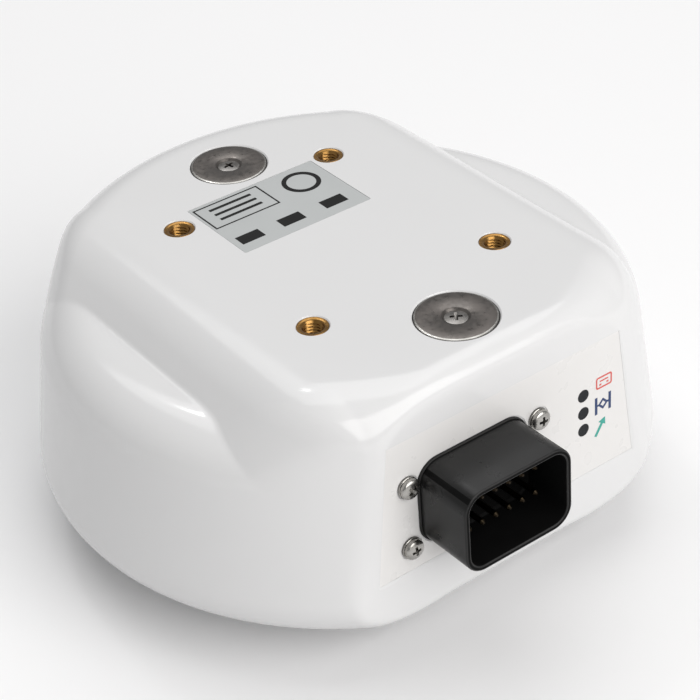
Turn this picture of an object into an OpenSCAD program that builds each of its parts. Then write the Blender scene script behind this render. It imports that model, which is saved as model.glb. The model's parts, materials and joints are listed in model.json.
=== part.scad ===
// GNSS receiver for a vehicle roof: a sealed two-piece plastic housing with the antenna stack,
// the receiver board and a 12-way connector inside. Millimetres. The receiver lies with its
// radome down and its mounting face up: X across the connector face, -Y out of the connector
// face, Z up, and the origin on the body's axis at the radome's crown.

/* [Housing] */
// Diameter of the drafted wall where it starts, at the rim
body_d = 155; // [120:1:190]
// Height from the radome's crown to the mounting face
body_h = 69.7; // [60:0.1:90]
// Depth of the radome's dome below the rim
dome_h = 9; // [5:1:14]
// Draft of the side wall, in degrees
draft = 8.05; // [0:0.05:10]
// Wall thickness
wall = 3.2; // [2:0.1:4]
// Radius of the rim at the radome end
rim_r = 11.4; // [6:0.1:14]
// Radius of the rim round the mounting face and the shoulders
crown_r = 13; // [6:0.5:16]
// Drop from the mounting face to the flat shoulder at each side
shoulder_drop = 9.6; // [6:0.1:16]
// Width of the mounting face between its two sloping flanks
platform_w = 89.6; // [70:0.1:110]
// Radius along the edge between the mounting face and a flank
flank_r = 16; // [2:0.5:20]

/* [Connector face] */
// Distance from the axis to the connector face, at the mounting face
face_y = 60.7; // [50:0.1:66]
// Lean of the connector face, in degrees
face_lean = 2; // [0:0.1:8]
// Radius of the edge between the connector face and the mounting face
face_edge_r = 6; // [2:0.5:12]
// Radius of the edge under the connector face
face_foot_r = 4; // [4:0.5:12]
// Radius of the two upright edges of the connector face
face_corner_r = 12; // [4:1:20]
// Width of the connector face between its upright edges, at the rim
face_flat_w = 84; // [60:0.2:90]
// Lean of the two upright edges towards the middle of the face, in degrees
face_corner_lean = 11.2; // [0:0.1:15]
// Width of the face label along its foot
label_w = 75.2; // [60:0.1:80]
// Height of the face label
label_h = 35; // [24:0.5:38]
// How much each side of the face label leans in by its top
label_lean = 4.5; // [0:0.5:8]

/* [Mounting] */
// Diameter of each magnet
magnet_d = 19; // [12:0.5:25]
// Thickness of each magnet
magnet_t = 4; // [2:0.5:6]
// Distance from the axis to each magnet
magnet_y = 44.5; // [35:0.1:48]
// Outside diameter of a threaded insert
insert_d = 7.4; // [6:0.1:9]
// Length of a threaded insert
insert_h = 9; // [6:0.5:12]
// Diameter of the insert's thread
thread_d = 5; // [4:1:6]

/* [Connector] */
// Outside width of the shroud
shroud_w = 30; // [24:0.5:36]
// Outside height of the shroud
shroud_h = 21.5; // [18:0.5:28]
// Wall of the shroud
shroud_t = 1.4; // [1:0.1:2]
// Corner radius of the shroud
shroud_r = 5.2; // [3:0.1:8]
// Length of the shroud outside the face
shroud_out = 15.3; // [10:0.1:20]
// Distance between the connector screws, across
screw_w = 37; // [34:0.1:42]
// Distance between the connector screws, up the face
screw_h = 16.6; // [12:0.1:20]
// Pitch of the pins along a row
pin_pitch = 3.8; // [2.5:0.1:5]
// Distance between the two rows of pins
pin_row_gap = 7; // [4:0.1:10]
// Distance from the face to the pins' tips
pin_tip = 10; // [6:0.5:13]

/* [Electronics] */
// Thickness of the circuit boards
board_t = 1.6; // [0.8:0.1:2]
// Diameter of the main board
main_d = 104; // [90:1:104]
// Diameter of the antenna's ground plane
plane_d = 104; // [90:1:104]
// Side of the larger ceramic patch
patch_low_w = 62; // [50:1:70]
// Side of the smaller ceramic patch
patch_top_w = 38; // [25:1:44]

/* [Hidden] */
// Facets on circles drawn in the preview
$fn = 96;

// Every part's name, and the one that is shown

// Worked out from the driving dimensions
rim_z = dome_h;
shoulder_z = body_h - shoulder_drop;
fit = 0.15;
opening_r = 52.5;
seat_r = 57;
seat_h = 1.5;
lid_r = seat_r - fit;
plug_r = opening_r - fit;
face_slope = tan(face_lean);
con_x = -9.95;
con_z = 39.7;
screws_x = -9.5;
screws_z = 38.4;
led_x = 22.6;
led_z = [46.1, 41.3, 36.6];
led_d = 3.2;
label_t = 0.3;
inserts = [[-26.1, 26.9], [-26.1, -26.9], [26.1, -26.9], [21.4, 31.5]];
main_z = 40;
plane_z = 25;
main_posts = [for (x = [-40, 40], y = [-22, 22]) [x, y]];
plane_posts = [[-46, 12], [46, 12], [-30, -36], [30, -36]];
front_posts = [for (x = [-36, 30.5], z = [33.5, 52]) [x, z]];
board_out = -7.7;
board_cut = 47;
link_z = 51;
link_y = 41;
front_back = face_at(link_z) + board_out - board_t;
cable_x = -8;
cable_y = 26;
washer_d = 5.3;
washer_t = 0.7;
label_x = 0.2;
label_foot = 23.9;
print_t = 0.05;
rating_x = -2;
rating_y = 19.8;
rating_w = 36.5;
rating_h = 24.7;
rating_t = 0.25;
patch_low_t = 6;

// Where a rounding's arc runs out past the face it meets, in degrees
run_out = 82;

// Radius of the wall's outside at height z
function wall_r(z) = body_d / 2 - (z - rim_z) * tan(draft);

// Distance from the axis to the connector face at height z
function face_at(z) = face_y + (body_h - z) * face_slope;

// Distance up the connector face from the label's foot to height z
function up_face(z) = (z - label_foot) / cos(face_lean);

// Points along an arc about [x, y], in equal steps
function arc(x, y, r, from, to, steps) = [
    for (i = [0:steps]) let (a = from + (to - from) * i / steps) [x + r * cos(a), y + r * sin(a)]
];

// Puts its children on the connector face: x across, y up the face and z out of it
module on_face(x, z, out = 0) {
    translate([x, -face_at(z), z]) rotate([90 - face_lean, 0, 0]) translate([0, 0, out])
        children();
}

// Rectangle with round corners, centred
module round_rect(w, h, r) {
    square([w - 2 * r, h], center = true);
    square([w, h - 2 * r], center = true);
    for (x = [-1, 1], y = [-1, 1])
        translate([x * (w / 2 - r), y * (h / 2 - r)]) circle(r);
}

// Half section of the full drafted drum with a round rim at each end, set in by `inset`
module drum_section(inset) {
    low_z = rim_z + rim_r;
    top_z = body_h - crown_r;
    polygon(concat(
        [[0, rim_z + inset]],
        arc(wall_r(low_z) - rim_r / cos(draft), low_z, rim_r - inset, -90, draft, 8),
        arc(wall_r(top_z) - crown_r / cos(draft), top_z, crown_r - inset, draft, 90, 8),
        [[0, body_h - inset]]
    ));
}

// Half section of what stays under a shoulder; its round rim runs out through the wall
module shoulder_section(inset) {
    z = shoulder_z - crown_r;
    polygon(concat(
        [[0, 0], [body_d, 0], [body_d, z - 9], [wall_r(z - 9) + 1.6, z - 9]],
        arc(wall_r(z) - crown_r / cos(draft), z, crown_r - inset, draft + 90 - run_out, 90, 7),
        [[0, shoulder_z - inset]]
    ));
}

// What is cut away above one flank, seen along Y
module flank_cut(inset) {
    half = platform_w / 2 - inset * tan(22.5);
    top = body_h - inset;
    r = flank_r - inset;
    x = half - r * tan(22.5);
    drop = 40;
    polygon(concat(
        [[half + drop, top - drop]],
        arc(x, top - r, r, 45, run_out, 4),
        [[x - 9, top + 1.6], [x - 9, top + 9], [half + drop, top + 9]]
    ));
}

// What is cut away in front of the connector face, seen along X: out of the face, and up
module face_cut(inset) {
    top = body_h - inset;
    foot = rim_z + inset;
    top_x = face_at(body_h) - face_edge_r * tan(45 - face_lean / 2);
    low_x = face_at(rim_z) - face_foot_r * tan(45 + face_lean / 2);
    polygon(concat(
        [[body_d, foot - 9], [low_x - 9, foot - 9], [low_x - 9, foot - 1.6]],
        arc(low_x, rim_z + face_foot_r, face_foot_r - inset, -run_out, face_lean, 7),
        arc(top_x, body_h - face_edge_r, face_edge_r - inset, face_lean, run_out, 6),
        [[top_x - 9, top + 1.6], [top_x - 9, top + 9], [body_d, top + 9]]
    ));
}

// What is cut away outside one upright edge of the connector face; its origin is the face
module corner_cut(inset) {
    r = face_corner_r - inset;
    x = face_flat_w / 2;
    turn = 38;
    reach = 40;
    side = [x + r * sin(turn) + reach * cos(turn),
        face_corner_r - r * cos(turn) + reach * sin(turn)];
    polygon(concat(
        [[side[0], -9], [x - 9, -9], [x - 9, inset - 1.6]],
        arc(x, face_corner_r, r, -run_out, turn - 90, 4),
        [side]
    ));
}

// The housing's outside, or with an inset its cavity
module body(inset) {
    difference() {
        rotate_extrude() drum_section(inset);
        for (side = [0, 1]) mirror([side, 0, 0]) difference() {
            rotate([90, 0, 0]) linear_extrude(2 * body_d, center = true) flank_cut(inset);
            rotate_extrude() shoulder_section(inset);
        }
        rotate([90, 0, -90]) linear_extrude(2 * body_d, center = true) face_cut(inset);
        translate([0, -face_at(rim_z), rim_z]) rotate([-face_lean, 0, 0])
            for (side = [0, 1]) mirror([side, 0, 0]) rotate([0, -face_corner_lean, 0])
                translate([0, 0, -20]) linear_extrude(100) corner_cut(inset);
    }
}

// Cross cut for a screw's driver
module cross_recess(w, t, depth) {
    for (a = [45, 135]) rotate(a) cube([w, t, 2 * depth], center = true);
}

// Pan head screw: the head stands on z = 0 and the shank runs down
module pan_screw(d, length, head_d, head_h) {
    difference() {
        union() {
            cylinder(h = head_h * 0.55, d = head_d);
            translate([0, 0, head_h * 0.55])
                cylinder(h = head_h * 0.45, d1 = head_d, d2 = head_d * 0.7);
            translate([0, 0, -length]) cylinder(h = length + 0.5, d = d);
        }
        translate([0, 0, head_h]) cross_recess(head_d * 0.62, head_d * 0.17, head_h * 0.6);
    }
}

// Flat plate on the connector face's axes with a centred outline
module face_plate(x, z, w, h, t, out) {
    on_face(x, z, out) linear_extrude(t) square([w, h], center = true);
}

// Puts its children at the four connector screws, on the connector face
module at_connector_screws(out) {
    on_face(screws_x, screws_z, out) for (x = [-1, 1], y = [-1, 1])
        translate([x * screw_w / 2, y * screw_h / 2, 0]) children();
}

// Outline of the face label about its foot: its sides lean in towards the mounting face
module label_outline(grow) {
    foot = label_w / 2 + grow;
    head = foot - label_lean;
    polygon([
        [-foot, -grow], [foot, -grow], [head, label_h + grow], [-head, label_h + grow]
    ]);
}

// Moulded shell: side wall, mounting face, flanks, shoulders and connector face in one piece
module housing() {
    color([0.93, 0.93, 0.92]) difference() {
        union() {
            difference() {
                body(0);
                body(wall);
            }
            intersection() {
                body(1);
                union() {
                    difference() {
                        translate([0, 0, rim_z + seat_h + 0.7]) cylinder(h = 2.4, r = seat_r + 4);
                        translate([0, 0, rim_z]) cylinder(h = 10, r = opening_r);
                    }
                    for (y = [-magnet_y, magnet_y])
                        translate([0, y, body_h - magnet_t - 3.2])
                            cylinder(h = magnet_t + 3, d = magnet_d + 4.4);
                    for (p = inserts)
                        translate([p[0], p[1], body_h - insert_h - 2]) cylinder(h = insert_h, d = 12);
                    for (p = main_posts)
                        translate([p[0], p[1], main_z + board_t])
                            cylinder(h = body_h - main_z - board_t - 1.5, d = 7.5);
                    for (p = front_posts)
                        on_face(p[0], p[1], board_out) cylinder(h = -board_out - 1.5, d = 6);
                }
            }
        }
        translate([0, 0, rim_z - 1]) cylinder(h = seat_h + 1 + 0.7, r = seat_r);
        translate([0, 0, rim_z - 1]) cylinder(h = 6, r = opening_r);
        for (y = [-magnet_y, magnet_y]) translate([0, y, body_h]) {
            translate([0, 0, -magnet_t]) cylinder(h = magnet_t + 1, d = magnet_d + 0.5);
            translate([0, 0, -magnet_t - 2.4]) cylinder(h = 4, d = 3);
        }
        for (p = inserts) translate([p[0], p[1], body_h - insert_h]) cylinder(h = 20, d = insert_d);
        for (p = main_posts) translate([p[0], p[1], main_z]) cylinder(h = 10, d = 2.5);
        for (p = front_posts) on_face(p[0], p[1], board_out - 1) cylinder(h = 6.5, d = 2);
        translate([rating_x, rating_y, body_h - rating_t])
            linear_extrude(2) square([rating_w + 0.3, rating_h + 0.3], center = true);
        on_face(label_x, label_foot, -label_t) linear_extrude(3) label_outline(0.25);
        on_face(con_x, con_z, -10) linear_extrude(12)
            round_rect(shroud_w + 0.4, shroud_h + 0.4, shroud_r + 0.2);
        at_connector_screws(-6) cylinder(h = 8, d = 2.7);
        for (z = led_z) on_face(led_x, z, -6) cylinder(h = 8, d = led_d + 0.1);
    }
}

// Shallow dome over the antennas, with the plug ring and hooks that hold it in the housing
module radome() {
    dome_r = 71;
    flat_r = 22;
    skin = 2.5;
    ring_r = plug_r - 3;
    color([0.93, 0.93, 0.92]) {
        rotate_extrude() difference() {
            union() {
                square([flat_r, rim_z + seat_h]);
                intersection() {
                    translate([flat_r, dome_r]) circle(dome_r);
                    translate([flat_r - 1, 0]) square([lid_r - flat_r + 1, rim_z + seat_h]);
                }
                translate([ring_r, rim_z]) square([plug_r - ring_r, 6]);
            }
            translate([-1, skin]) square([flat_r + 1, 20]);
            intersection() {
                translate([flat_r, dome_r]) circle(dome_r - skin);
                translate([flat_r - 1, 0]) square([ring_r - flat_r + 1, 40]);
            }
        }
        for (a = [22.5:45:337.5]) rotate(a) translate([plug_r - 1, -4, rim_z + 4.8])
            rotate([90, 0, 90]) linear_extrude(1.8) polygon([[0, 0], [8, 0], [8, 1.2], [0, 1.2]]);
    }
}

// Flat gasket between the radome's flange and its seat in the housing
module housing_seal() {
    color([0.12, 0.12, 0.13]) translate([0, 0, rim_z + seat_h]) difference() {
        cylinder(h = 0.7, r = lid_r - 0.2);
        translate([0, 0, -1]) cylinder(h = 3, r = opening_r + 0.3);
    }
}

// Metallised rating label let into the mounting face
module rating_label() {
    color([0.62, 0.63, 0.63]) translate([rating_x, rating_y, body_h - rating_t])
        linear_extrude(rating_t - print_t) square([rating_w, rating_h], center = true);
}

// Print on the rating label: a ruled box, a ring and three plain blocks
module rating_print() {
    color([0.1, 0.1, 0.1]) translate([rating_x, rating_y, body_h - print_t])
        linear_extrude(print_t) {
            translate([-8.3, 6.1]) difference() {
                square([18.6, 10.6], center = true);
                square([17.8, 9.8], center = true);
            }
            for (y = [3.9, 6.4, 8.9]) translate([-8.3, y]) square([12, 0.9], center = true);
            translate([10.5, 5.4]) difference() {
                circle(4.9);
                circle(3.7);
            }
            for (x = [-13.4, -1.5, 11]) translate([x, -7.2]) square([6.4, 3.6], center = true);
        }
}

// Printed film over the connector face, with openings for the connector, screws and lights
module face_label() {
    color([0.9, 0.89, 0.87]) on_face(label_x, label_foot, -label_t) linear_extrude(label_t - print_t)
        difference() {
            label_outline(0);
            translate([con_x - label_x, up_face(con_z)])
                round_rect(shroud_w + 1.6, shroud_h + 1.6, shroud_r + 0.8);
            for (x = [-1, 1], y = [-1, 1])
                translate([screws_x - label_x + x * screw_w / 2, up_face(screws_z) + y * screw_h / 2])
                    circle(d = washer_d + 0.6);
            for (z = led_z) translate([led_x - label_x, up_face(z)]) circle(d = led_d + 0.1);
        }
}

// Red outline of a small receiver box, beside the top light
module icon_receiver() {
    color([0.8, 0.2, 0.16]) on_face(led_x + 6.3, led_z[0] + 1.3, -print_t) linear_extrude(print_t)
        {
            difference() {
                round_rect(4.9, 3.2, 0.6);
                round_rect(4.1, 2.4, 0.3);
            }
            translate([0, 0.35]) square([2.6, 0.35], center = true);
            for (x = [-1.1, 1.1]) translate([x, -0.55]) square([0.6, 0.45], center = true);
        }
}

// Blue sign of two bars with a lozenge between them, beside the middle light
module icon_link() {
    color([0.12, 0.2, 0.5]) on_face(led_x + 6, led_z[1], -print_t) linear_extrude(print_t) {
        for (x = [-2.1, 2.1]) translate([x, 0]) square([0.75, 4.7], center = true);
        rotate(45) difference() {
            square(2.2, center = true);
            square(1.1, center = true);
        }
        for (x = [-1.5, 1.5]) translate([x, 0]) square([0.6, 0.5], center = true);
    }
}

// Green arrow, beside the bottom light
module icon_fix() {
    color([0.1, 0.5, 0.42]) on_face(led_x + 5, led_z[2] - 1.7, -print_t) linear_extrude(print_t)
        rotate(-34) {
            translate([0, -0.4]) square([0.8, 4], center = true);
            translate([0, 1.2]) polygon([[-1.3, 0], [1.3, 0], [0, 1.7]]);
        }
}

// Ring magnet with a bright chamfered rim and a countersunk middle
module ring_magnet(y) {
    color([0.36, 0.35, 0.34]) translate([0, y, body_h - magnet_t]) difference() {
        union() {
            cylinder(h = magnet_t - 0.4, d = magnet_d);
            translate([0, 0, magnet_t - 0.4])
                cylinder(h = 0.4, d1 = magnet_d, d2 = magnet_d - 0.8);
        }
        translate([0, 0, -1]) cylinder(h = 10, d = 3.6);
        translate([0, 0, magnet_t - 1.9]) cylinder(h = 2, d1 = 3.6, d2 = 6.5);
    }
}

module magnet_near() {
    ring_magnet(-magnet_y);
}

module magnet_far() {
    ring_magnet(magnet_y);
}

// Countersunk screws that hold the two magnets
module magnet_screws() {
    color([0.72, 0.72, 0.72]) for (y = [-magnet_y, magnet_y])
        translate([0, y, body_h]) difference() {
            union() {
                translate([0, 0, -0.7]) cylinder(h = 0.4, d1 = 5.6, d2 = 4.8);
                translate([0, 0, -2]) cylinder(h = 1.3, d1 = 3, d2 = 5.6);
                translate([0, 0, -magnet_t - 2.2]) cylinder(h = 5, d = 2.9);
            }
            translate([0, 0, -0.3]) cross_recess(3.4, 0.9, 1);
        }
}

// Knurled brass inserts in the mounting face, open at the top and closed below
module mounting_inserts() {
    color([0.7, 0.52, 0.25]) for (p = inserts) translate([p[0], p[1], body_h - insert_h])
        difference() {
            cylinder(h = insert_h - 0.15, d = insert_d);
            translate([0, 0, 1]) cylinder(h = 20, d = thread_d - 0.8);
            translate([0, 0, insert_h - 0.85])
                cylinder(h = 0.8, d1 = thread_d - 0.8, d2 = thread_d + 0.6);
            for (z = [2.4, 5.2]) translate([0, 0, z]) difference() {
                cylinder(h = 0.9, d = 12);
                translate([0, 0, -1]) cylinder(h = 3, d = insert_d - 0.8);
            }
        }
}

// Header: shroud, pin block and the flange behind the housing's wall
module connector_shroud() {
    color([0.07, 0.07, 0.08]) difference() {
        on_face(con_x, con_z) {
            translate([0, 0, -wall - 3]) linear_extrude(shroud_out + wall + 3) difference() {
                round_rect(shroud_w, shroud_h, shroud_r);
                round_rect(shroud_w - 2 * shroud_t, shroud_h - 2 * shroud_t, shroud_r - shroud_t);
            }
            translate([0, 0, -wall - 3]) linear_extrude(wall + 5)
                round_rect(shroud_w - 1, shroud_h - 1, shroud_r - 0.5);
            translate([0, 0, -wall - 3]) linear_extrude(3)
                round_rect(screw_w + 8, shroud_h + 2, 3);
        }
        at_pins(-20) cylinder(h = 40, d = 1.5);
        at_connector_screws(-wall - 4) cylinder(h = 6, d = 2.5);
    }
}

// Bezel gasket round the foot of the shroud
module connector_gasket() {
    color([0.05, 0.05, 0.05]) on_face(con_x, con_z, -label_t) linear_extrude(0.7) difference() {
        round_rect(shroud_w + 0.9, shroud_h + 0.9, shroud_r + 0.45);
        round_rect(shroud_w + 0.1, shroud_h + 0.1, shroud_r + 0.05);
    }
}

// Puts its children at every pin, along the connector's axis
module at_pins(out) {
    on_face(con_x, con_z, out) for (row = [-1, 1], col = [-2.5:1:2.5])
        translate([col * pin_pitch, row * pin_row_gap / 2, 0]) children();
}

// Contact pins, from their tails in the front board to their tips in the socket
module connector_pins() {
    color([0.85, 0.68, 0.35]) at_pins(board_out - board_t - 1.2) {
        cylinder(h = pin_tip - board_out + board_t + 0.7, d = 1.4);
        translate([0, 0, pin_tip - board_out + board_t + 0.7]) cylinder(h = 0.5, d1 = 1.4, d2 = 0.6);
    }
}

// Pan head screws that clamp the connector's flange to the face
module connector_screws() {
    color([0.75, 0.75, 0.74]) at_connector_screws(washer_t - label_t) pan_screw(2.4, 6, 4.9, 1.6);
}

// Flat washers under the connector screws
module connector_washers() {
    color([0.66, 0.66, 0.65]) at_connector_screws(-label_t) difference() {
        cylinder(h = washer_t, d = washer_d);
        translate([0, 0, -1]) cylinder(h = 3, d = 2.7);
    }
}

// Smoked light pipes through the face
module light_pipes() {
    color([0.05, 0.06, 0.08, 0.9]) for (z = led_z) on_face(led_x, z, board_out + 1.4)
        cylinder(h = -board_out - 1.4 - print_t, d = led_d);
}

// Surface-mount lights on the front board, one behind each pipe
module status_leds() {
    color([0.8, 0.86, 0.7]) for (z = led_z) face_plate(led_x, z, 2.2, 1.6, 1, board_out);
}

// Upright board behind the face: it carries the connector's pins and the lights
module front_board() {
    color([0.06, 0.32, 0.18]) difference() {
        face_plate(-2.5, 43, 73, 27, board_t, board_out - board_t);
        at_pins(-30) cylinder(h = 40, d = 1.5);
        for (p = front_posts) on_face(p[0], p[1], -20) cylinder(h = 30, d = 2.4);
    }
}

// Self-tapping screws that hold the front board to its posts
module front_board_screws() {
    color([0.7, 0.7, 0.7]) for (p = front_posts) on_face(p[0], p[1], board_out - board_t)
        rotate([180, 0, 0]) pan_screw(1.9, 6, 4, 1.5);
}

// Flat flexible cable between the two boards, with a socket at each end
module board_link() {
    x = 20;
    bend = 3;
    low = main_z + board_t + 1.6;
    color([0.85, 0.83, 0.78]) {
        translate([x, -front_back + 0.6, link_z]) cube([16, 2.4, 3], center = true);
        translate([x, -link_y, low]) cube([16, 3, 3.2], center = true);
        translate([x, 0, 0]) rotate([90, 0, 90]) linear_extrude(13, center = true) {
            translate([-front_back + 1, link_z - 0.15])
                square([front_back - link_y - bend - 0.85, 0.3]);
            translate([-link_y - 0.15, low + 1.4]) square([0.3, link_z - low - 1.4 - bend]);
            translate([-link_y - bend + 0.15, link_z - bend]) intersection() {
                difference() {
                    circle(bend);
                    circle(bend - 0.3);
                }
                square(bend + 1);
            }
        }
    }
}

// Main board: the receiver, the processor and the power supply
module main_board() {
    color([0.05, 0.3, 0.17]) difference() {
        intersection() {
            translate([0, 0, main_z]) cylinder(h = board_t, d = main_d);
            translate([-100, -board_cut, 0]) cube(200);
        }
        for (p = main_posts) translate([p[0], p[1], main_z - 1]) cylinder(h = 5, d = 2.8);
        for (p = plane_posts) translate([p[0], p[1], main_z - 1]) cylinder(h = 5, d = 3.2);
        translate([cable_x, cable_y, main_z - 1]) cylinder(h = 5, d = 4);
    }
}

// Screws that hold the main board up against the housing's posts
module main_board_screws() {
    color([0.7, 0.7, 0.7]) for (p = main_posts) translate([p[0], p[1], main_z])
        rotate([180, 0, 0]) pan_screw(2.4, 8, 5, 1.9);
}

// Satellite receiver module under its shield can
module receiver_module() {
    color([0.72, 0.73, 0.74]) translate([-16, -6, main_z + board_t]) {
        translate([-16, -13, 0]) cube([32, 26, 0.8]);
        translate([-15, -12, 0.8]) cube([30, 24, 2.4]);
    }
}

// Processor
module processor() {
    color([0.1, 0.1, 0.11]) translate([14, -8, main_z + board_t]) cube([14, 14, 1.4]);
}

// Memory chip beside the processor
module memory_chip() {
    color([0.12, 0.12, 0.12]) translate([16, -22, main_z + board_t]) cube([10, 8, 1]);
}

// Reference crystal in its metal can
module crystal() {
    color([0.78, 0.78, 0.76]) translate([6, 12, main_z + board_t]) cube([7, 5, 1.8]);
}

// Power supply coils
module power_coils() {
    color([0.2, 0.2, 0.21]) for (y = [-8, 4]) translate([36, y, main_z + board_t]) {
        cube([9, 9, 4.2]);
        translate([4.5, 4.5, 4.2]) cylinder(h = 0.4, d = 6.5);
    }
}

// Power supply capacitors
module power_capacitors() {
    color([0.68, 0.7, 0.72]) for (x = [-8, 2, 12]) translate([x, -33, main_z + board_t]) {
        translate([-4.2, -4.2, 0]) cube([8.4, 8.4, 1]);
        translate([0, 0, 1]) cylinder(h = 8, d = 8);
    }
}

// Coin cell that keeps the almanac
module backup_cell() {
    color([0.76, 0.76, 0.75]) translate([18, 32, main_z + board_t]) cylinder(h = 2.1, d = 12.5);
}

// Round board under the antennas: their ground plane
module ground_plane() {
    color([0.78, 0.62, 0.35]) difference() {
        intersection() {
            translate([0, 0, plane_z]) cylinder(h = board_t, d = plane_d);
            translate([-100, -board_cut, 0]) cube(200);
        }
        for (p = plane_posts) translate([p[0], p[1], plane_z - 1]) cylinder(h = 5, d = 3.2);
        at_feeds() translate([0, 0, plane_z - 1]) cylinder(h = 5, d = 1.6);
    }
}

// Hexagonal spacers between the ground plane and the main board
module plane_spacers() {
    color([0.72, 0.6, 0.36]) for (p = plane_posts) translate([p[0], p[1], plane_z + board_t])
        difference() {
            cylinder(h = main_z - plane_z - board_t, d = 6.4, $fn = 6);
            translate([0, 0, -1]) cylinder(h = 30, d = 2.6);
        }
}

// Screws from both boards into the spacers
module plane_screws() {
    color([0.7, 0.7, 0.7]) for (p = plane_posts) translate([p[0], p[1], 0]) {
        translate([0, 0, plane_z]) rotate([180, 0, 0]) pan_screw(2.5, 6, 5, 1.9);
        translate([0, 0, main_z + board_t]) pan_screw(2.5, 6, 5, 1.9);
    }
}

// Puts its children at the four feed points of the patches
module at_feeds() {
    for (p = [[9, 0], [0, 9], [-17, 0], [0, -17]]) translate([p[0], p[1], 0]) children();
}

// Ceramic patch with its metal face
module patch(w, face_w, top, t) {
    translate([-w / 2, -w / 2, top - t]) cube([w, w, t]);
    translate([-face_w / 2, -face_w / 2, top - t - 0.2]) cube([face_w, face_w, 0.2]);
}

// Larger patch, for the lower band
module patch_lower() {
    color([0.85, 0.82, 0.74]) difference() {
        patch(patch_low_w, patch_low_w - 6, plane_z, patch_low_t);
        at_feeds() translate([0, 0, plane_z - 20]) cylinder(h = 30, d = 1.6);
    }
}

// Smaller patch, for the upper band
module patch_upper() {
    color([0.88, 0.85, 0.78]) difference() {
        patch(patch_top_w, patch_top_w - 6, plane_z - patch_low_t - 0.2, 4);
        at_feeds() translate([0, 0, plane_z - 20]) cylinder(h = 30, d = 1.6);
    }
}

// Feed pins from the patches to the amplifier
module feed_pins() {
    color([0.85, 0.72, 0.4]) at_feeds() {
        translate([0, 0, plane_z - patch_low_t - 4.8]) cylinder(h = 0.4, d = 2.6);
        translate([0, 0, plane_z - patch_low_t - 4.6])
            cylinder(h = patch_low_t + board_t + 5.4, d = 1.4);
    }
}

// Shield can over the low-noise amplifier, on the ground plane's back
module lna_shield() {
    color([0.74, 0.75, 0.76]) translate([-24, -24, plane_z + board_t]) difference() {
        cube([38, 38, 4]);
        translate([0.5, 0.5, -1]) cube([37, 37, 4.5]);
    }
}

// Coaxial cable from the amplifier, up through the main board, to the receiver module
module antenna_cable() {
    bend = 4;
    low = plane_z + board_t + 1.6;
    high = main_z + board_t + 2.4;
    color([0.15, 0.15, 0.16]) translate([cable_x, 0, 0]) {
        translate([0, cable_y - 12, low]) rotate([-90, 0, 0]) cylinder(h = 12 - bend, d = 1.8);
        translate([0, cable_y, low + bend]) cylinder(h = high - low - 2 * bend, d = 1.8);
        translate([0, cable_y - 9, high]) rotate([-90, 0, 0]) cylinder(h = 9 - bend, d = 1.8);
        translate([0, cable_y - bend, low + bend]) rotate([90, 0, 90]) rotate(-90)
            rotate_extrude(angle = 90) translate([bend, 0]) circle(d = 1.8);
        translate([0, cable_y - bend, high - bend]) rotate([90, 0, 90])
            rotate_extrude(angle = 90) translate([bend, 0]) circle(d = 1.8);
    }
}

// Miniature plugs at the cable's two ends
module cable_plugs() {
    color([0.82, 0.7, 0.42]) translate([cable_x, 0, 0]) {
        translate([0, cable_y - 13.5, plane_z + board_t]) cylinder(h = 2.6, d = 3.4);
        translate([0, cable_y - 10.5, main_z + board_t]) cylinder(h = 3.4, d = 3.4);
    }
}

housing();
radome();
housing_seal();
rating_label();
rating_print();
face_label();
icon_receiver();
icon_link();
icon_fix();
magnet_near();
magnet_far();
magnet_screws();
mounting_inserts();
connector_shroud();
connector_gasket();
connector_pins();
connector_screws();
connector_washers();
light_pipes();
status_leds();
front_board();
front_board_screws();
board_link();
main_board();
main_board_screws();
receiver_module();
processor();
memory_chip();
crystal();
power_coils();
power_capacitors();
backup_cell();
ground_plane();
plane_spacers();
plane_screws();
patch_lower();
patch_upper();
feed_pins();
lna_shield();
antenna_cable();
cable_plugs();
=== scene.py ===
"""Looks of the GNSS receiver: smooth shells and small hardware round the CAD frame.

Sizes are in millimetres in the shape code and become metres when a mesh is made.
"""

import json
import math

import bmesh
import bpy
import numpy as np
from mathutils import Matrix, Vector


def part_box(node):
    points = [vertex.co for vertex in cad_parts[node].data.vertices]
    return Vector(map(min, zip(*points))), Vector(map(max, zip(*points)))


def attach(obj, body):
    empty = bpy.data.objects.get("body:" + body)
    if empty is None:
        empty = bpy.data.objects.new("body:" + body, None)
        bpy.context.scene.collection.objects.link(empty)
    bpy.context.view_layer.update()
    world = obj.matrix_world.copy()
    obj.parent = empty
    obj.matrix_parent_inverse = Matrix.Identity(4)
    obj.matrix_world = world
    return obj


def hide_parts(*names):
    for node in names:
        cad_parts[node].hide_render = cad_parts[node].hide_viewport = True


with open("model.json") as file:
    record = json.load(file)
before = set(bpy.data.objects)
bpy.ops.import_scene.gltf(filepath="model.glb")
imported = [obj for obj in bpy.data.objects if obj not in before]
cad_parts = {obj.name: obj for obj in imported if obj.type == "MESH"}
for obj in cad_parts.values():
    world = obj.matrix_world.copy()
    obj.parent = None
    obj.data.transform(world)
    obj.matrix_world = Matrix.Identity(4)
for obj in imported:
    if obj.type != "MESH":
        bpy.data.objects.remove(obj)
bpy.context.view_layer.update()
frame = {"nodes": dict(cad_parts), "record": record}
nodes = frame["nodes"]
mounts = {m["name"]: m for m in frame["record"]["mounts"]}
MM = 0.001
ROOT = "root"


def box_mm(node):
    """Lowest and highest corner of a CAD node, in millimetres."""
    low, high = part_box(node)
    return np.array(low) / MM, np.array(high) / MM


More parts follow.
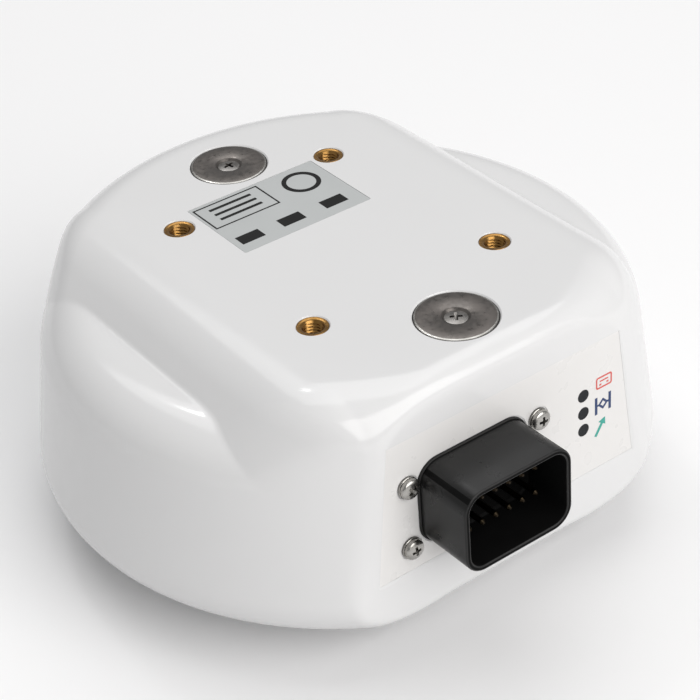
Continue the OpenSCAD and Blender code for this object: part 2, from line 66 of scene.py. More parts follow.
# ---------------------------------------------------------------- sizes
BODY_H = box_mm("housing")[1][2]
RIM_Z = box_mm("housing")[0][2]
BODY_R0 = 77.5  # radius of the drafted wall, carried down to the rim
DRAFT = math.radians(8.05)
RIM_R = 11.4  # wall to rim
CROWN_R = 13.0  # wall to mounting face, and wall to shoulder
SHOULDER_Z = BODY_H - 9.6
PLATFORM_HALF = 44.8  # half the width of the raised band
FLANK_R = 20.0  # mounting face to flank
FLANK_CROWN_R = 22.0  # wall to flank
CREASE_R = 1.5  # flank to shoulder
FACE_Y = 60.7  # how far out the connector face is at its top
FACE_LEAN = math.radians(2.0)
FACE_EDGE_R = 6.0  # connector face to mounting face
FOOT_R = 4.0  # connector face to rim
CORNER_R = 12.0  # connector face to wall
CORNER_FROM, CORNER_FULL = 24, 38  # distance from the middle over which the edge's radius grows
FOOT_FROM, FOOT_TO = RIM_Z + 7, RIM_Z + 20  # heights over which the foot's radius ends
WALL = 3.2
OPENING_R = 52.5
SEAT_R = 57.0
SEAT_H = 1.5

CON_X, CON_Z = -9.95, 39.7
SHROUD_W, SHROUD_H, SHROUD_T, SHROUD_R = 30.0, 21.5, 1.4, 5.2
SHROUD_OUT, SOCKET_FLOOR = 15.3, 2.0
SCREWS_X, SCREWS_Z = -9.5, 38.4
SCREW_DX, SCREW_DZ = 18.5, 8.3
WASHER_R, WASHER_T, HEAD_R, HEAD_H = 2.65, 0.7, 2.45, 1.6
LABEL_X, LABEL_FOOT, LABEL_HALF, LABEL_H, LABEL_LEAN, LABEL_T = 0.2, 23.9, 37.6, 35.0, 4.5, 0.3
LIGHT_D, LIGHT_X, LIGHT_ZS = 3.2, 22.6, (46.1, 41.3, 36.6)
MAGNET_D, MAGNET_T = 19.0, 4.0
MAGNET_BORE, MAGNET_SINK_R = 1.8, 3.2
INSERT_D, INSERT_H, THREAD_R, THREAD_PITCH, THREAD_DEPTH = 7.4, 9.0, 2.1, 0.8, 0.42
MAGNET_GAP, INSERT_GAP, LIGHT_GAP, FILM_GAP, SHROUD_GAP = 0.22, 0.03, 0.06, 0.12, 0.2


def face_y(z):
    """Where the connector face is at height z."""
    return -(FACE_Y + (BODY_H - z) * math.tan(FACE_LEAN))


def face_matrix(x, z):
    """Frame on the connector face: across, up the face, and out of it."""
    normal = Vector((0, -math.cos(FACE_LEAN), math.sin(FACE_LEAN)))
    up = Vector((0, math.sin(FACE_LEAN), math.cos(FACE_LEAN)))
    place = Vector((x, face_y(z), z))
    return Matrix.Translation(place) @ Matrix(((1, 0, 0), up, normal)).transposed().to_4x4()


def insert_places():
    """Centres of the threaded inserts' mouths."""
    places = []
    for i in range(1, 5):
        at = Vector(mounts[f"insert_{i}"]["pos_m"]) / MM
        places.append(Vector((at.x, at.y, BODY_H)))
    return places


# ---------------------------------------------------------------- mesh helpers
def make(name, points, faces, matrix=None, smooth_angle=35.0):
    """A mesh object from millimetre points, shaded smooth up to an angle."""
    mesh = bpy.data.meshes.new(name)
    move = matrix or Matrix()
    mesh.from_pydata([(move @ Vector(p)) * MM for p in points], [], faces)
    mesh.validate()
    bm = bmesh.new()
    bm.from_mesh(mesh)
    bmesh.ops.recalc_face_normals(bm, faces=bm.faces)
    bm.to_mesh(mesh)
    bm.free()
    obj = bpy.data.objects.new(name, mesh)
    bpy.context.scene.collection.objects.link(obj)
    smooth(obj, smooth_angle)
    return obj


def smooth(obj, angle):
    """Shades an object smooth, with its edges sharper than angle kept."""
    obj.data.shade_smooth()
    obj.data.set_sharp_from_angle(angle=math.radians(angle))


def loft(loops, closed=False):
    """Points and faces through loops of equal length, capped or joined from last to first."""
    count = len(loops[0])
    points = [p for loop in loops for p in loop]
    faces = []
    pairs = len(loops) if closed else len(loops) - 1
    for i in range(pairs):
        a, b = i * count, ((i + 1) % len(loops)) * count
        for j in range(count):
            k = (j + 1) % count
            faces.append((a + j, a + k, b + k, b + j))
    if not closed:
        faces.append(tuple(reversed(range(count))))
        last = (len(loops) - 1) * count
        faces.append(tuple(range(last, last + count)))
    return points, faces


def ring(r, z, count):
    """A circle of points round the z axis."""
    turns = [2 * math.pi * i / count for i in range(count)]
    return [(r * math.cos(a), r * math.sin(a), z) for a in turns]


def turned(name, profile, matrix=None, count=64, closed=False):
    """A turned piece from (radius, height) pairs."""
    points, faces = loft([ring(r, z, count) for r, z in profile], closed)
    return make(name, points, faces, matrix)


def round_rect(w, h, r, z, steps=10):
    """A loop of a rectangle with round corners, centred, at height z."""
    loop = []
    for cx, cy, start in ((1, 1, 0), (-1, 1, 90), (-1, -1, 180), (1, -1, 270)):
        for i in range(steps + 1):
            a = math.radians(start + 90 * i / steps)
            loop.append((cx * (w / 2 - r) + r * math.cos(a), cy * (h / 2 - r) + r * math.sin(a), z))
    return loop


def cut(obj, cutters, solver="EXACT"):
    """Takes the cutters out of obj and removes them."""
    for cutter in cutters:
        mod = obj.modifiers.new("cut", "BOOLEAN")
        mod.operation = "DIFFERENCE"
        mod.solver = solver
        mod.object = cutter
        bpy.context.view_layer.update()
        graph = bpy.context.evaluated_depsgraph_get()
        mesh = bpy.data.meshes.new_from_object(obj.evaluated_get(graph))
        obj.modifiers.clear()
        old = obj.data
        obj.data = mesh
        bpy.data.meshes.remove(old)
        bpy.data.objects.remove(cutter)


def join(name, objs):
    """One object from several, each already in place."""
    bm = bmesh.new()
    for o in objs:
        bm.from_mesh(o.data)
    mesh = bpy.data.meshes.new(name)
    bm.to_mesh(mesh)
    bm.free()
    for o in objs:
        bpy.data.objects.remove(o)
    obj = bpy.data.objects.new(name, mesh)
    bpy.context.scene.collection.objects.link(obj)
    return obj


def stands_for(obj, *names):
    """Gives a new piece its body, its CAD nodes and their finish slot."""
    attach(obj, ROOT)
    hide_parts(*names)
    paint(obj, NEW_LOOKS[names[0]])
    return obj


# ---------------------------------------------------------------- housing
def round_max(a, b, r):
    """Intersection of two fields, each a distance and its gradient, with a round edge."""
    (da, na), (db, nb) = a, b
    cosine = np.clip(np.sum(na * nb, -1), -0.95, 0.9995)
    pa, pb = da + r, db + r
    wa = (pa - pb * cosine) / (1 - cosine**2)
    wb = (pb - pa * cosine) / (1 - cosine**2)
    on_arc = (wa > 0) & (wb > 0)
    reach = np.sqrt(np.maximum(pa * wa + pb * wb, 1e-12))
    arc = (wa[..., None] * na + wb[..., None] * nb) / reach[..., None]
    distance = np.where(on_arc, reach - r, np.maximum(da, db))
    flat = np.where((da > db)[..., None], na, nb)
    return distance, np.where(on_arc[..., None], arc, flat)


def round_min(a, b, r):
    """Union of two fields with a fillet of radius r."""
    distance, gradient = round_max((-a[0], -a[1]), (-b[0], -b[1]), r)
    return -distance, -gradient


def step(a, b, x):
    """Smooth step from 0 at a to 1 at b."""
    t = np.clip((x - a) / (b - a), 0, 1)
    return t * t * (3 - 2 * t)


def body_distance(p, inset):
    """Signed distance of the housing's outside, set in by inset."""
    x, y, z = p[..., 0], p[..., 1], p[..., 2]

    def plane(distance, normal):
        return distance + inset, np.broadcast_to(np.array(normal), p.shape)

    reach = np.hypot(x, y)
    level, diagonal = math.cos(DRAFT), math.sqrt(0.5)
    out = np.stack((x / reach * level, y / reach * level, np.full(x.shape, math.sin(DRAFT))), -1)
    wall = ((reach - BODY_R0 + (z - RIM_Z) * math.tan(DRAFT)) * level + inset, out)
    sideways = np.stack((np.sign(x) * diagonal, 0 * x, np.full(x.shape, diagonal)), -1)
    flank = ((np.abs(x) - PLATFORM_HALF + z - BODY_H) * diagonal + inset, sideways)
    front = (-y - FACE_Y - (BODY_H - z) * math.tan(FACE_LEAN)) * math.cos(FACE_LEAN)
    front = plane(front, (0, -math.cos(FACE_LEAN), math.sin(FACE_LEAN)))
    band = round_max(plane(z - BODY_H, (0, 0, 1)), flank, FLANK_R - inset)
    on_flank = (np.abs(band[1][..., 0]) / diagonal) ** 3
    crown = CROWN_R + (FLANK_CROWN_R - CROWN_R) * on_flank
    band = round_max(wall, band, crown - inset)
    shoulder = round_max(wall, plane(z - SHOULDER_Z, (0, 0, 1)), CROWN_R - inset)
    body = round_min(band, shoulder, CREASE_R + inset)
    body = round_max(body, plane(RIM_Z - z, (0, 0, -1)), RIM_R - inset)
    upright = step(CORNER_FROM, CORNER_FULL, np.abs(x))
    above_foot = step(FOOT_FROM, FOOT_TO, z)
    edge = FACE_EDGE_R + (CORNER_R - FACE_EDGE_R) * upright
    edge = FOOT_R + (edge - FOOT_R) * above_foot
    return round_max(body, front, edge - inset)[0]


def body_mesh(name, inset, around, down):
    """The housing's surface, found by halving along rays from a point inside it."""
    centre = np.array((0, -4.0, 36.0))
    longest_ray, halvings = 120.0, 26
    azimuth = (np.arange(around) + 0.5) * 2 * math.pi / around
    polar = np.linspace(0, math.pi, down + 2)[1:-1]
    a, b = np.meshgrid(azimuth, polar)
    rays = np.stack((np.sin(b) * np.cos(a), np.sin(b) * np.sin(a), np.cos(b)), -1)
    near, far = np.zeros(a.shape), np.full(a.shape, longest_ray)
    for _ in range(halvings):
        mid = (near + far) / 2
        outside = body_distance(centre + rays * mid[..., None], inset) > 0
        far = np.where(outside, mid, far)
        near = np.where(outside, near, mid)
    surface = centre + rays * near[..., None]
    return make(name, *loft([[tuple(p) for p in row] for row in surface]))


def pocket_cutters():
    """Pockets of the magnets and holes of the inserts, open at the mounting face."""
    cutters = []
    for node in ("magnet_near", "magnet_far"):
        low, high = box_mm(node)
        place = Matrix.Translation((0, (low[1] + high[1]) / 2, BODY_H))
        r, through = MAGNET_D / 2 + MAGNET_GAP, 1.5
        pocket = [(through, -WALL - 9), (through, -MAGNET_T), (r, -MAGNET_T)]
        mouth = [(r, -0.3), (r + 0.3, 0), (r + 0.3, 2)]
        cutters.append(turned("pocket", pocket + mouth, place, 96))
    for at in insert_places():
        r = INSERT_D / 2 + INSERT_GAP
        hole = [(r, -WALL - 3), (r, -0.25), (r + 0.25, 0), (r + 0.25, 2)]
        cutters.append(turned("insert_hole", hole, Matrix.Translation(at), 64))
    return cutters


def face_cutters():
    """Openings of the connector face: the shroud's, the lights' and the label's recess."""
    w, h, r = SHROUD_W + 2 * SHROUD_GAP, SHROUD_H + 2 * SHROUD_GAP, SHROUD_R + SHROUD_GAP
    loops = [round_rect(w, h, r, -WALL - 3), round_rect(w, h, r, 3)]
    cutters = [make("socket_hole", *loft(loops), face_matrix(CON_X, CON_Z))]
    for z in LIGHT_ZS:
        r = LIGHT_D / 2 + LIGHT_GAP
        hole = [(r, -WALL - 3), (r, 2)]
        cutters.append(turned("light_hole", hole, face_matrix(LIGHT_X, z), 40))
    return cutters + [label_cutter()]


def rating_cutter():
    """Recess of the rating label in the mounting face."""
    low, high = box_mm("rating_label")
    w, h = high[0] - low[0] + 2 * FILM_GAP, high[1] - low[1] + 2 * FILM_GAP
    place = Matrix.Translation(((low[0] + high[0]) / 2, (low[1] + high[1]) / 2, low[2]))
    loops = [round_rect(w, h, 0.4, z) for z in (0, 2)]
    return make("rating_recess", *loft(loops), place)


def build_housing():
    """The white moulding, hollow, with its seat for the radome and its openings."""
    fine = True
    shell = body_mesh("housing_shell", 0.0, 520 if fine else 240, 380 if fine else 180)
    cutters = [body_mesh("cavity", WALL, 140, 100)]
    cutters.append(turned("seat", [(SEAT_R, -5), (SEAT_R, RIM_Z + SEAT_H + 0.7)], count=180))
    cutters.append(turned("opening", [(OPENING_R, -5), (OPENING_R, RIM_Z + 8)], count=180))
    cut(shell, cutters + pocket_cutters() + face_cutters() + [rating_cutter()], "MANIFOLD")
    smooth(shell, 32)
    stands_for(shell, "housing")


def label_cutter():
    """Recess of the face label: its edge is open and bevelled at the foot and at the right."""
    head = LABEL_HALF - LABEL_LEAN
    tight, open_gap, bevel_gap = 0.04, 0.22, 0.8
    loops = []
    for z, gap in ((-LABEL_T, open_gap), (-0.2, open_gap), (0.02, bevel_gap), (3, bevel_gap)):
        foot, top = -gap, LABEL_H + tight
        loops.append([
            (-LABEL_HALF - tight, foot, z), (LABEL_HALF + gap, foot, z),
            (head + gap, top, z), (-head - tight, top, z),
        ])
    return make("label_recess", *loft(loops), face_matrix(LABEL_X, LABEL_FOOT))


def build_radome():
    """A shallow dome with a rolled edge that closes the housing, and its plug ring."""
    dome_r, flat_r, skin, clearance = 71.0, 22.0, 2.5, 0.15
    lid_r, ring_out = SEAT_R - clearance, OPENING_R - clearance
    ring_in = ring_out - 3
    top = RIM_Z + SEAT_H

    def dome(r, radius):
        return dome_r - math.sqrt(radius**2 - max(0.0, r - flat_r) ** 2)

    outer = [(r, dome(r, dome_r)) for r in np.linspace(0.02, lid_r - 0.5, 60)]
    edge = dome(lid_r, dome_r)
    outer += [(lid_r - 0.15, edge - 0.05), (lid_r, edge + 0.3), (lid_r, top)]
    outer += [(ring_out, top), (ring_out, RIM_Z + 6), (ring_in, RIM_Z + 6)]
    inner = [(r, dome(r, dome_r - skin)) for r in np.linspace(ring_in, 0.02, 40)]
    stands_for(turned("radome_shell", outer + inner, count=240), "radome")


# ---------------------------------------------------------------- connector
def build_shroud():
    """Shroud with a rounded rim, its pin block and its flange, its inside and rim face painted with
    shade.
    """
    w, h, r, t = SHROUD_W, SHROUD_H, SHROUD_R, SHROUD_T
    back = -WALL - 3

    def at(shrink, z):
        return round_rect(w - 2 * shrink, h - 2 * shrink, r - shrink, z, 12)

    rim = SHROUD_OUT
    rounding = ((0, 0.45), (0.06, 0.22), (0.2, 0.06), (0.42, 0))  # inward and down from the rim
    loops = [at(0, back), at(0, 0)]
    loops += [at(inward, rim - down) for inward, down in rounding]
    loops += [at(t - inward, rim - down) for inward, down in reversed(rounding)]
    loops += [at(t, SOCKET_FLOOR + 0.5), at(t + 0.5, SOCKET_FLOOR)]
    shroud = make("shroud_body", *loft(loops), face_matrix(CON_X, CON_Z))
    flange_w, flange_h, flange_t = 2 * SCREW_DX + 8, h + 2, 3
    flange_back = back - 0.01
    flange_loops = [round_rect(flange_w, flange_h, 3, z) for z in (flange_back, flange_back + flange_t)]
    flange = make("flange", *loft(flange_loops), face_matrix(CON_X, CON_Z))
    obj = join("connector_shroud_shell", [shroud, flange])
    smooth(obj, 35)
    stands_for(obj, "connector_shroud")
    # The faces inside the socket and the flat face of the rim take the near-black finish: painted shade,
    # not a different plastic.
    obj.data.materials.append(SOCKET_PAINTED_SHADE)
    to_face = face_matrix(CON_X, CON_Z).inverted()
    for face in obj.data.polygons:
        middle = to_face @ (face.center / MM)
        inside = abs(middle.x) < w / 2 - 0.9 * t and abs(middle.y) < h / 2 - 0.9 * t
        on_rim = middle.z > rim - 0.01
        if (inside and 0 < middle.z < rim - 0.3) or on_rim:
            face.material_index = 1


def cross_cutter(width, thick, depth, matrix):
    """Tapered cross of a screwdriver's tip, pointing down from z = 0."""
    parts = []
    for turn in (45, 135):
        half, t = width / 2, thick / 2
        top = [(-half, -t, 0.5), (half, -t, 0.5), (half, t, 0.5), (-half, t, 0.5)]
        low = [(x * 0.35, y * 0.8, -depth) for x, y, _ in top]
        spin = matrix @ Matrix.Rotation(math.radians(turn), 4, "Z")
        parts.append(make("cross", *loft([low, top]), spin))
    return parts


def pan_head(name, r, height, matrix, shank_r, length):
    """Pan head screw standing on z = 0."""
    dome = [(r * math.cos(a), height * (0.45 + 0.55 * math.sin(a))) for a in np.linspace(0, 1.45, 9)]
    profile = [(0.01, -length), (shank_r, -length), (shank_r, 0), (r - 0.15, 0), (r, 0.15)]
    obj = turned(name, profile + dome + [(0.01, height)], matrix, 48)
    cut(obj, cross_cutter(r * 1.3, r * 0.3, height * 0.75, matrix @ Matrix.Translation((0, 0, height))))
    smooth(obj, 30)
    return obj


def build_connector_hardware():
    """Pan head screws at the connector's corners, each turned its own way, and their washers."""
    heads, washers = [], []
    shank_r, bore_r, length = 1.2, 1.35, 6
    r, t = WASHER_R, WASHER_T
    flat = [(bore_r, 0.02), (r - 0.1, 0.02), (r, 0.12), (r, t - 0.1), (r - 0.1, t), (bore_r, t)]
    seat = Matrix.Translation((0, 0, WASHER_T))
    for sx in (-1, 1):
        for sz in (-1, 1):
            base = face_matrix(SCREWS_X, SCREWS_Z)
            base = base @ Matrix.Translation((sx * SCREW_DX, sz * SCREW_DZ, -LABEL_T))
            turn = Matrix.Rotation(math.radians(23 * sx + 17 * sz), 4, "Z")
            heads.append(pan_head("head", HEAD_R, HEAD_H, base @ seat @ turn, shank_r, length))
            washers.append(turned("flat", flat, base, 48, closed=True))
    stands_for(join("connector_screw_heads", heads), "connector_screws")
    stands_for(join("connector_washer_rings", washers), "connector_washers")


def build_gasket():
    """Rubber ring round the shroud's foot, with rounded top edges."""
    outside = ((0.45, -0.28), (0.45, 0.25), (0.36, 0.38))
    inside = ((0.15, 0.38), (0.06, 0.25), (0.06, -0.28))
    loops = []
    for grow, z in outside + inside:
        loops.append(round_rect(SHROUD_W + 2 * grow, SHROUD_H + 2 * grow, SHROUD_R + grow, z))
    obj = make("connector_bezel", *loft(loops, closed=True), face_matrix(CON_X, CON_Z))
    stands_for(obj, "connector_gasket")


# ---------------------------------------------------------------- mounting face
def build_magnets():
    """Ring magnets with a countersunk bore, their top rim painted brighter as a highlight."""
    r, bore, sink = MAGNET_D / 2, MAGNET_BORE, MAGNET_SINK_R
    profile = [(bore, -MAGNET_T), (r - 0.2, -MAGNET_T), (r, -MAGNET_T + 0.2), (r, -0.35)]
    profile += [(r - 0.1, -0.12), (r - 0.45, 0), (sink + 0.25, 0), (sink, -0.15), (bore, -1.75)]
    for node in ("magnet_near", "magnet_far"):
        low, high = box_mm(node)
        place = Matrix.Translation((0, (low[1] + high[1]) / 2, BODY_H - 0.02))
        obj = stands_for(turned(node + "_ring", profile, place, 128, closed=True), node)
        # The rounded top rim faces take the brighter steel: a painted highlight along the edge.
        obj.data.materials.append(STEEL)
        for face in obj.data.polygons:
            middle = place.inverted() @ (face.center / MM)
            if math.hypot(middle.x, middle.y) > r - 0.5 and middle.z > -0.4:
                face.material_index = 1


def build_magnet_screws():
    """Countersunk cross-recess screws in the magnets."""
    heads = []
    profile = [
        (0.01, -6), (1.45, -6), (1.45, -1.4), (2.75, -0.25), (2.8, -0.1), (2.7, 0.02),
        (1.9, 0.22), (0.9, 0.3), (0.01, 0.32),
    ]
    for node, turn in (("magnet_near", 12), ("magnet_far", 58)):
        low, high = box_mm(node)
        place = Matrix.Translation((0, (low[1] + high[1]) / 2, BODY_H - 0.55))
        place = place @ Matrix.Rotation(math.radians(turn), 4, "Z")
        head = turned("magnet_screw", profile, place, 64)
        cut(head, cross_cutter(3.6, 0.75, 1.3, place @ Matrix.Translation((0, 0, 0.25))))
        smooth(head, 30)
        heads.append(head)
    stands_for(join("magnet_screw_heads", heads), "magnet_screws")


def thread_loop(k, per_turn, around):
    """One loop of the inserts' thread; its crest climbs round the bore."""
    z = -0.65 - THREAD_PITCH * k / per_turn
    loop = []
    for j in range(around):
        a = 2 * math.pi * j / around
        phase = (k / per_turn + j / around) % 1.0
        r = THREAD_R + THREAD_DEPTH * abs(2 * phase - 1)
        loop.append((r * math.cos(a), r * math.sin(a), z))
    return loop


def build_inserts():
    """Brass inserts with a chamfered mouth and a real helical thread."""
    turns, per_turn, around = 8, 8, 40
    r = INSERT_D / 2
    body = [(0.01, -INSERT_H), (r - 0.2, -INSERT_H), (r, -INSERT_H + 0.2), (r, -0.3), (r - 0.12, -0.15)]
    mouth = [(THREAD_R + 0.75, -0.15), (THREAD_R + 0.45, -0.4)]
    loops = [ring(radius, z, around) for radius, z in body + mouth]
    loops += [thread_loop(k, per_turn, around) for k in range(turns * per_turn + 1)]
    bottom = loops[-1][0][2]
    loops += [ring(THREAD_R, bottom - 0.3, around), ring(0.01, bottom - 0.9, around)]
    made = [make("insert", *loft(loops), Matrix.Translation(at), 50) for at in insert_places()]
    obj = join("threaded_inserts", made)
    smooth(obj, 50)
    stands_for(obj, "mounting_inserts")


# ---------------------------------------------------------------- materials
class Shader:
    """A Principled material with a few helpers for procedural detail."""

    def __init__(self, name, base, roughness, metallic=0.0, **sockets):
        self.material = bpy.data.materials.new(name)
        self.material.use_nodes = True
        self.tree = self.material.node_tree
        self.bsdf = self.tree.nodes["Principled BSDF"]
        self.set(**{"Base Color": (*base, 1), "Roughness": roughness, "Metallic": metallic})
        self.set(**{k.replace("_", " "): v for k, v in sockets.items()})
        self.base = base
        self.coords = self.node("ShaderNodeTexCoord").outputs["Object"]

    def node(self, kind, **values):
        """Adds a node and sets its sockets or its own settings by name."""
        made = self.tree.nodes.new(kind)
        for key, value in values.items():
            if key in made.inputs:
                made.inputs[key].default_value = value
            else:
                setattr(made, key, value)
        return made

    def link(self, out, socket):
        self.tree.links.new(out, socket)

    def set(self, **values):
        """Sets sockets of the Principled shader by name."""
        for key, value in values.items():
            self.bsdf.inputs[key].default_value = value

    def stretched(self, scale):
        """Object coordinates scaled unevenly, for a grain with a direction."""
        mapping = self.node("ShaderNodeMapping")
        mapping.inputs["Scale"].default_value = scale
        self.link(self.coords, mapping.inputs["Vector"])
        return mapping.outputs["Vector"]

    def noise(self, per_metre, detail, vector=None):
        made = self.node("ShaderNodeTexNoise", Scale=per_metre, Detail=detail)
        self.link(vector or self.coords, made.inputs["Vector"])
        return made.outputs["Fac"]

    def mapped(self, value, low, high, start=0.3, end=0.7):
        """Turns start..end of a value into low..high."""
        made = self.node("ShaderNodeMapRange")
        for key, number in zip(("From Min", "From Max", "To Min", "To Max"), (start, end, low, high)):
            made.inputs[key].default_value = number
        self.link(value, made.inputs["Value"])
        return made.outputs["Result"]

    def tint(self, value, other, start=0.35, end=0.7):
        """Mixes the base colour with another where value is high."""
        mix = self.node("ShaderNodeMix", data_type="RGBA")
        colours = [s for s in mix.inputs if s.type == "RGBA"]
        colours[0].default_value, colours[1].default_value = (*self.base, 1), (*other, 1)
        self.link(self.mapped(value, 0, 1, start, end), mix.inputs["Factor"])
        out = [s for s in mix.outputs if s.type == "RGBA"][0]
        self.link(out, self.bsdf.inputs["Base Color"])
        return self

    def rough(self, value, low, high):
        """Lets the roughness follow a value between two limits."""
        self.link(self.mapped(value, low, high), self.bsdf.inputs["Roughness"])
        return self

    def bump(self, value, millimetres):
        """Raises the surface by a value, up to so many millimetres."""
        bump = self.node("ShaderNodeBump", Strength=1.0, Distance=millimetres * MM)
        self.link(value, bump.inputs["Height"])
        self.link(bump.outputs["Normal"], self.bsdf.inputs["Normal"])
        return self


def moulded(name, base, other, roughness, grain_mm, grain_scale, **sockets):
    """Moulded plastic: faint colour drift, uneven gloss and a fine skin."""
    shader = Shader(name, base, roughness, **sockets)
    shader.tint(shader.noise(28, 4), other)
    shader.rough(shader.noise(160, 4), roughness * 0.85, roughness * 1.2)
    return shader.bump(shader.noise(grain_scale, 2), grain_mm).material


def plated(name, base, other, roughness, scratch=1.0):
    """Metal with a brushed grain, small stains and fine scratches."""
    shader = Shader(name, base, roughness, 1.0)
    shader.tint(shader.noise(420, 5), other)
    shader.rough(shader.noise(900, 4), roughness * 0.7, roughness * 1.4)
    fine = shader.noise(1500, 3, shader.stretched((1, 7, 1)))
    return shader.bump(fine, 0.012 * scratch).material


def board(name, base, other):
    """Circuit board: solder mask over a pattern of tracks."""
    shader = Shader(name, base, 0.35)
    tracks = shader.node("ShaderNodeTexBrick", Scale=140.0)
    tracks.inputs["Mortar Size"].default_value = 0.06
    shader.link(shader.coords, tracks.inputs["Vector"])
    shader.tint(tracks.outputs["Fac"], other, 0.2, 0.8)
    return shader.bump(tracks.outputs["Fac"], 0.03).material


WHITE = moulded("white_gloss_plastic", (0.685, 0.685, 0.688), (0.675, 0.675, 0.678), 0.15, 0.0008, 700)
LABEL_FILM = moulded("label_film", (0.70, 0.69, 0.68), (0.692, 0.682, 0.672), 0.3, 0.001, 1600)
BLACK = moulded(
    "black_satin_plastic", (0.011, 0.011, 0.011), (0.015, 0.015, 0.015), 0.3, 0.006, 2400,
    Specular_IOR_Level=0.25,
)
# Near-black, rough and barely reflective: painted shade for the socket's inside and the shroud's rim
# face, darker than the black plastic they are made of.
SOCKET_PAINTED_SHADE = moulded(
    "socket_painted_shade", (0.002, 0.002, 0.002), (0.003, 0.003, 0.003), 0.7, 0.006, 2400,
    Specular_IOR_Level=0.1,
)
RUBBER = moulded("seal_rubber", (0.01, 0.01, 0.01), (0.017, 0.016, 0.016), 0.62, 0.02, 1800)
STEEL = plated("stainless_steel", (0.46, 0.45, 0.43), (0.34, 0.33, 0.31), 0.24)
DULL_STEEL = plated("dull_steel", (0.27, 0.26, 0.25), (0.2, 0.19, 0.18), 0.3)
MAGNET = plated("dark_nickel", (0.165, 0.15, 0.14), (0.14, 0.13, 0.122), 0.36, 0.25)
BRASS = plated("machined_brass", (0.36, 0.20, 0.065), (0.27, 0.145, 0.04), 0.24)
# Pin metal painted near-black: painted shade that hides the pins deep in the socket, not the contacts'
# own colour.
SHADED_CONTACT = plated("contact_painted_shade", (0.03, 0.022, 0.014), (0.02, 0.016, 0.01), 0.3)
GOLD = plated("gold_flash", (0.85, 0.62, 0.26), (0.7, 0.5, 0.2), 0.25)
TIN = plated("tin_plate", (0.68, 0.69, 0.70), (0.55, 0.56, 0.57), 0.32)
SILVER_FILM = moulded("silver_film", (0.45, 0.465, 0.465), (0.43, 0.445, 0.445), 0.35, 0.001, 3000)
PRINT = moulded(
    "black_print", (0.012, 0.012, 0.012), (0.018, 0.018, 0.018), 0.5, 0.002, 3000,
    Specular_IOR_Level=0.12,
)
RED = moulded("red_print", (0.62, 0.10, 0.08), (0.55, 0.09, 0.07), 0.45, 0.004, 3000)
BLUE = moulded("blue_print", (0.012, 0.035, 0.12), (0.015, 0.04, 0.13), 0.45, 0.004, 3000)
GREEN = moulded("green_print", (0.03, 0.36, 0.29), (0.04, 0.30, 0.25), 0.45, 0.004, 3000)
WINDOW = moulded(
    "smoked_window", (0.005, 0.006, 0.008), (0.008, 0.01, 0.013), 0.12, 0.002, 1500,
    Specular_IOR_Level=0.2,
)
LENS = moulded("clear_lens", (0.55, 0.62, 0.5), (0.6, 0.66, 0.55), 0.2, 0.003, 1800)
BOARD = board("green_board", (0.015, 0.12, 0.05), (0.04, 0.22, 0.09))
PLANE = board("gold_plane", (0.55, 0.38, 0.14), (0.62, 0.45, 0.2))
CHIP = moulded("moulded_epoxy", (0.012, 0.012, 0.012), (0.02, 0.02, 0.02), 0.55, 0.015, 2600)
FLEX = moulded("flex_cable", (0.62, 0.58, 0.46), (0.56, 0.52, 0.42), 0.45, 0.01, 1200)
CERAMIC = moulded("sintered_ceramic", (0.68, 0.63, 0.52), (0.6, 0.56, 0.47), 0.5, 0.02, 1500)
CABLE = moulded("cable_jacket", (0.02, 0.02, 0.02), (0.03, 0.03, 0.03), 0.5, 0.02, 2000)

CAD_LOOKS = {
    "housing_seal": RUBBER, "rating_label": SILVER_FILM, "rating_print": PRINT, "face_label": LABEL_FILM,
    "icon_receiver": RED, "icon_link": BLUE, "icon_fix": GREEN, "connector_pins": SHADED_CONTACT,
    "light_pipes": WINDOW, "status_leds": LENS, "front_board": BOARD, "front_board_screws": STEEL,
    "board_link": FLEX, "main_board": BOARD, "main_board_screws": STEEL, "receiver_module": TIN,
    "processor": CHIP, "memory_chip": CHIP, "crystal": TIN, "power_coils": CHIP,
    "power_capacitors": TIN, "backup_cell": STEEL, "ground_plane": PLANE, "plane_spacers": BRASS,
    "plane_screws": STEEL, "patch_lower": CERAMIC, "patch_upper": CERAMIC, "feed_pins": GOLD,
    "lna_shield": TIN, "antenna_cable": CABLE, "cable_plugs": GOLD,
}
NEW_LOOKS = {
    "housing": WHITE, "radome": WHITE, "connector_shroud": BLACK, "connector_gasket": RUBBER,
    "connector_screws": STEEL, "connector_washers": STEEL, "magnet_near": MAGNET,
    "magnet_far": MAGNET, "magnet_screws": DULL_STEEL, "mounting_inserts": BRASS,
}


def paint(obj, material):
    """Gives a piece one material in place of all it has."""
    obj.data.materials.clear()
    obj.data.materials.append(material)


# ---------------------------------------------------------------- stage
def area_light(name, place, aim, size, power, colour=(1, 1, 1)):
    """A rectangular soft light at a place in metres, turned to what it lights."""
    data = bpy.data.lights.new(name, "AREA")
    data.shape, data.size, data.size_y = "RECTANGLE", size[0], size[1]
    data.energy, data.color = power, colour
    obj = bpy.data.objects.new(name, data)
    obj.location = place
    obj.rotation_euler = (Vector(aim) - Vector(place)).to_track_quat("-Z", "Y").to_euler()
    bpy.context.scene.collection.objects.link(obj)


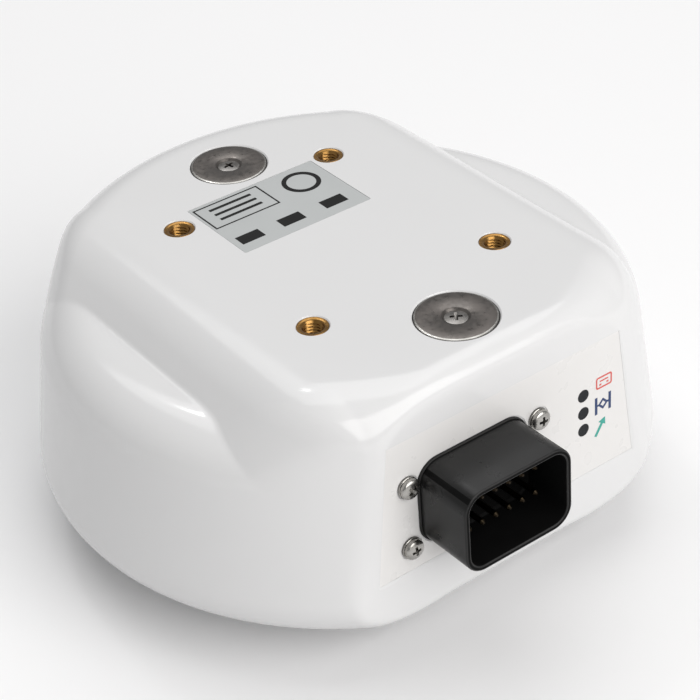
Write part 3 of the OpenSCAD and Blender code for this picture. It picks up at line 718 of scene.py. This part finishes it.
def build_stage():
    """Pale floor, even sky, two soft lights and two small ones for the highlights."""
    half, below = 6.0, -0.0002
    corners = [(x, y, below) for x, y in ((-half, -half), (half, -half), (half, half), (-half, half))]
    mesh = bpy.data.meshes.new("floor")
    mesh.from_pydata(corners, [], [(0, 1, 2, 3)])
    floor = bpy.data.objects.new("floor", mesh)
    bpy.context.scene.collection.objects.link(floor)
    shader = Shader("pale_floor", (0.87, 0.87, 0.875), 0.6)
    shader.tint(shader.noise(1.5, 2), (0.86, 0.86, 0.865))
    paint(floor, shader.material)

    world = bpy.data.worlds.new("studio")
    bpy.context.scene.world = world
    world.use_nodes = True
    sky = world.node_tree.nodes["Background"]
    sky.inputs["Color"].default_value = (1, 1, 1, 1)
    sky.inputs["Strength"].default_value = 0.38
    target = (0, 0, 0.04)
    area_light("key", (0.2, -1.8, 1.3), target, (2.2, 1.8), 40, (1, 0.985, 0.97))
    area_light("overhead", (0.4, 0.75, 2.2), target, (2.2, 2.0), 24)
    area_light("glint", (0.13, 0.96, 1.5), target, (0.12, 0.12), 1.1)
    area_light("strip", (0.92, -1.03, 0.58), target, (0.03, 1.1), 0.5)
    bpy.context.scene.view_settings.view_transform = "Standard"


def build_camera():
    """Long lens aimed down at the corner between the left side and the connector face."""
    azimuth, elevation, roll = math.radians(-35.02), math.radians(35.24), math.radians(-3.52)
    distance, across, up_shift, pivot_z = 482.2, 0.6, 21.06, RIM_Z + 1.7
    level = math.cos(elevation)
    back = Vector((math.sin(azimuth) * level, -math.cos(azimuth) * level, math.sin(elevation)))
    right = Vector((0, 0, 1)).cross(back).normalized()
    up = back.cross(right)
    side = right * math.cos(roll) + up * math.sin(roll)
    up = up * math.cos(roll) - right * math.sin(roll)
    place = back * distance + side * across + up * up_shift + Vector((0, 0, pivot_z))
    data = bpy.data.cameras.new("photo_camera")
    data.sensor_width, data.lens = 36.0, 98.33
    camera = bpy.data.objects.new("photo_camera", data)
    camera.matrix_world = Matrix.Translation(place * MM) @ Matrix((side, up, back)).transposed().to_4x4()
    data.clip_start = 0.01
    bpy.context.scene.collection.objects.link(camera)
    bpy.context.scene.camera = camera


build_camera()
build_stage()
build_housing()
build_radome()
build_shroud()
build_gasket()
build_connector_hardware()
build_magnets()
build_magnet_screws()
build_inserts()
for name, look in CAD_LOOKS.items():
    paint(nodes[name], look)
